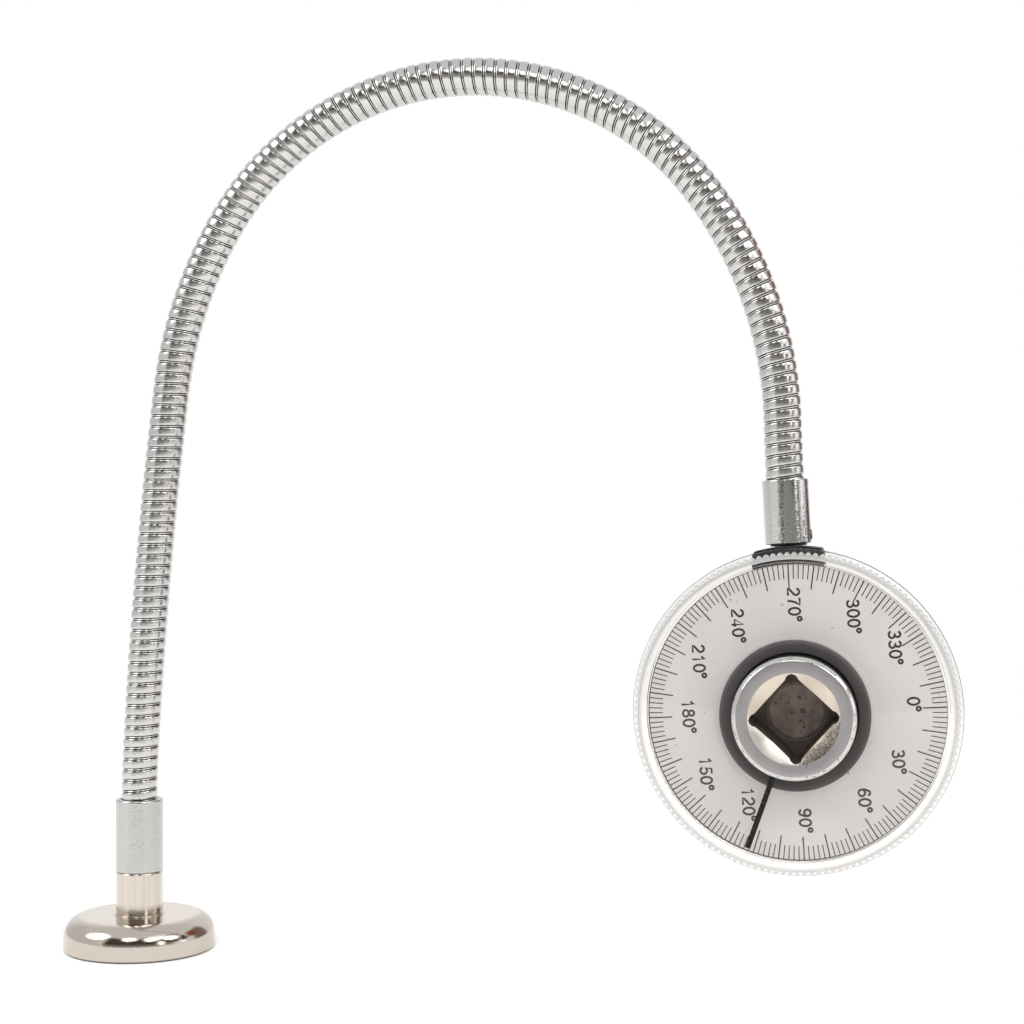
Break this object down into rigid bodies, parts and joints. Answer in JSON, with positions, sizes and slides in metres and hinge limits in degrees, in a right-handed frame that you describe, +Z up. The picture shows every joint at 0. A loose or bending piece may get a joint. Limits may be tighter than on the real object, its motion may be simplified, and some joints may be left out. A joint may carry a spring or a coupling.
{
  "type": "torque angle gauge",
  "caption": "Angle gauge for a half-inch square drive: a graduated dial with a drive spindle through it, held by a gooseneck on a magnet foot.",
  "frame": {"origin": "centre of the magnet's bottom face, where the foot meets what it holds on to", "axes": "+Z up along the post, +X from the post towards the dial, -Y out of the dial's face"},
  "size_m": [0.1954, 0.0481, 0.1947],
  "materials": {
    "polished_nickel": "polished nickel plate on turned steel",
    "satin_chrome": "satin chrome plate on turned steel",
    "wound_steel": "bright chromed wire, wound in a spiral",
    "grey_steel": "plain machined steel",
    "magnet": "dark sintered magnet",
    "liner_resin": "grey potting resin",
    "black_plastic": "black moulded, fine grain",
    "dark_plastic": "dark grey moulded, satin",
    "scale_sheet": "pale grey satin sheet with black marks",
    "clear_acrylic": "clear, polished",
    "pointer_black": "black line",
    "black_rubber": "black, soft",
    "bronze": "sintered bronze"
  },
  "bodies": {
    "base": {"magnet_cup": "polished_nickel", "magnet_disc": "magnet", "magnet_liner": "liner_resin", "post_washer": "polished_nickel", "base_post": "polished_nickel", "foot_stud": "grey_steel", "lower_ferrule": "satin_chrome", "gooseneck_1": "wound_steel"},
    "arm_2": {"gooseneck_2": "wound_steel"},
    "arm_3": {"gooseneck_3": "wound_steel"},
    "arm_4": {"gooseneck_4": "wound_steel"},
    "arm_5": {"gooseneck_5": "wound_steel"},
    "arm_6": {"gooseneck_6": "wound_steel"},
    "arm_7": {"gooseneck_7": "wound_steel"},
    "arm_8": {"gooseneck_8": "wound_steel"},
    "head": {"gooseneck_9": "wound_steel", "upper_ferrule": "satin_chrome", "set_screw": "grey_steel", "head_neck": "black_plastic", "head_stud": "grey_steel", "rear_housing": "black_plastic", "scale_disc": "scale_sheet", "spindle_bush": "bronze", "thrust_washer": "grey_steel", "rear_washer": "grey_steel"},
    "drive": {"drive_spindle": "satin_chrome", "retaining_ring": "grey_steel", "detent_spring": "grey_steel", "friction_ring": "black_rubber"},
    "cover": {"knurled_cover": "clear_acrylic", "hub_ring": "dark_plastic", "pointer_bar": "pointer_black"},
    "detent": {"detent_ball": "grey_steel"}
  },
  "joints": [
    {"name": "arm_bend_1", "type": "hinge", "parent": "base", "child": "arm_2", "pos_m": [0.00083, 0, 0.05211], "axis": [0, 1, 0], "range_deg": [-10, 10]},
    {"name": "arm_bend_2", "type": "hinge", "parent": "arm_2", "child": "arm_3", "pos_m": [0.00405, 0, 0.09241], "axis": [0, 1, 0], "range_deg": [-10, 10]},
    {"name": "arm_swing_3", "type": "hinge", "parent": "arm_3", "child": "arm_4", "pos_m": [0.00905, 0, 0.13251], "axis": [0.9759, 0, -0.2181], "range_deg": [-12, 12]},
    {"name": "arm_bend_4", "type": "hinge", "parent": "arm_4", "child": "arm_5", "pos_m": [0.0263, 0, 0.16866], "axis": [0, 1, 0], "range_deg": [-10, 10]},
    {"name": "arm_bend_5", "type": "hinge", "parent": "arm_5", "child": "arm_6", "pos_m": [0.05808, 0, 0.18854], "axis": [0, 1, 0], "range_deg": [-10, 10]},
    {"name": "arm_swing_6", "type": "hinge", "parent": "arm_6", "child": "arm_7", "pos_m": [0.09774, 0, 0.18608], "axis": [-0.3728, 0, -0.9279], "range_deg": [-12, 12]},
    {"name": "arm_bend_7", "type": "hinge", "parent": "arm_7", "child": "arm_8", "pos_m": [0.12816, 0, 0.16046], "axis": [0, 1, 0], "range_deg": [-10, 10]},
    {"name": "arm_bend_8", "type": "hinge", "parent": "arm_8", "child": "head", "pos_m": [0.14153, 0, 0.1227], "axis": [0, 1, 0], "range_deg": [-10, 10]},
    {"name": "drive_turn", "type": "hinge", "parent": "head", "child": "drive", "pos_m": [0.14516, 0, 0.05602], "axis": [0, 1, 0], "continuous": true},
    {"name": "cover_turn", "type": "hinge", "parent": "drive", "child": "cover", "pos_m": [0.14516, 0, 0.05602], "axis": [0, 1, 0], "continuous": true},
    {"name": "detent_press", "type": "slide", "parent": "drive", "child": "detent", "axis": [0.7455, 0, -0.6665], "range_m": [-0.0006, 0], "stiffness_N_per_m": 2000, "springref_m": 0.0006}
  ]
}
